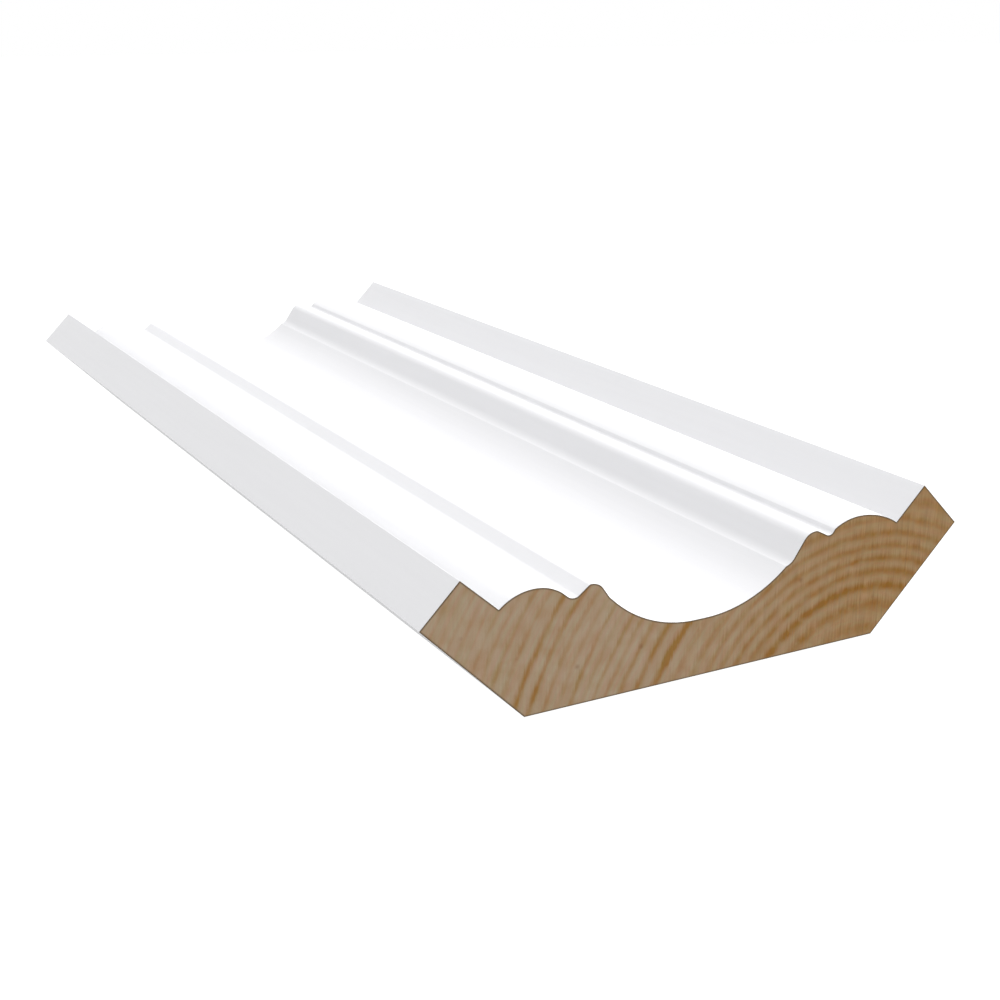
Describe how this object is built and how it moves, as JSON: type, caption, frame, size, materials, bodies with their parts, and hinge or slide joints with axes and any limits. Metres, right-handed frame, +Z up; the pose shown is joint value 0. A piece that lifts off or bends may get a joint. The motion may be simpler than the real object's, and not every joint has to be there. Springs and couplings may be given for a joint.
{
  "type": "crown moulding length",
  "caption": "Short square-cut length of solid-pine crown moulding, primed white, with a deep cove between bead-and-torus rails and a bevelled sprung back.",
  "frame": {"origin": "on the flat back, under the middle of the length and the middle of the width", "axes": "+X from the wall side to the ceiling side, +Y along the length away from the sawn end that the picture shows, +Z up from the flat back to the moulded face"},
  "size_m": [0.111, 0.245, 0.0272],
  "materials": {
    "primed_pine": "smooth-run pine under flat white factory primer, with bare sawn end grain at both ends"
  },
  "bodies": {
    "root": {"crown_moulding": "primed_pine"}
  },
  "joints": []
}
